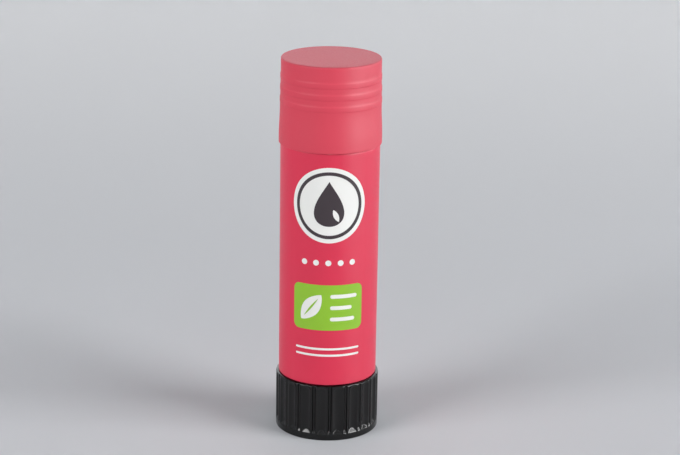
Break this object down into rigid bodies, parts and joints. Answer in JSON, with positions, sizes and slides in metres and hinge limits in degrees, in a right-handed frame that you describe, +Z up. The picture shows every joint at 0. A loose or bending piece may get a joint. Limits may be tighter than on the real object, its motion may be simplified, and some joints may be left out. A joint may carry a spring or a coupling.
{
  "type": "glue stick",
  "caption": "Twist-up glue stick standing on a fluted twist knob, with a round barrel, a screw-driven cup that raises the glue, and a pull-off cap.",
  "frame": {"origin": "middle of the knob's underside, where the stick stands", "axes": "+Z up along the stick from knob to cap; the printed front faces -Y"},
  "size_m": [0.0264, 0.0264, 0.0971],
  "materials": {
    "barrel_plastic": "glossy moulded red plastic with a printed front",
    "knob_plastic": "moulded black plastic, half gloss",
    "spindle_plastic": "moulded natural plastic",
    "cup_plastic": "moulded white plastic",
    "glue": "waxy off-white adhesive",
    "cap_plastic": "moulded red plastic with a fine satin surface"
  },
  "bodies": {
    "barrel": {"barrel": "barrel_plastic"},
    "knob": {"twist_knob": "knob_plastic", "screw_spindle": "spindle_plastic"},
    "cup": {"glue_cup": "cup_plastic", "glue": "glue"},
    "cap": {"cap": "cap_plastic"}
  },
  "joints": [
    {"name": "knob_turn", "type": "hinge", "parent": "barrel", "child": "knob", "pos_m": [0, 0, 0], "axis": [0, 0, 1], "range_deg": [0, 5400]},
    {"name": "cup_lift", "type": "slide", "parent": "barrel", "child": "cup", "axis": [0, 0, 1], "range_m": [0, 0.06]},
    {"name": "cap_pull", "type": "slide", "parent": "cup", "child": "cap", "axis": [0, 0, 1], "range_m": [0, 0.03]}
  ],
  "couplings": [
    {"joint": "knob_turn", "follows": "cup_lift", "rad_per_m": 1570.8}
  ]
}
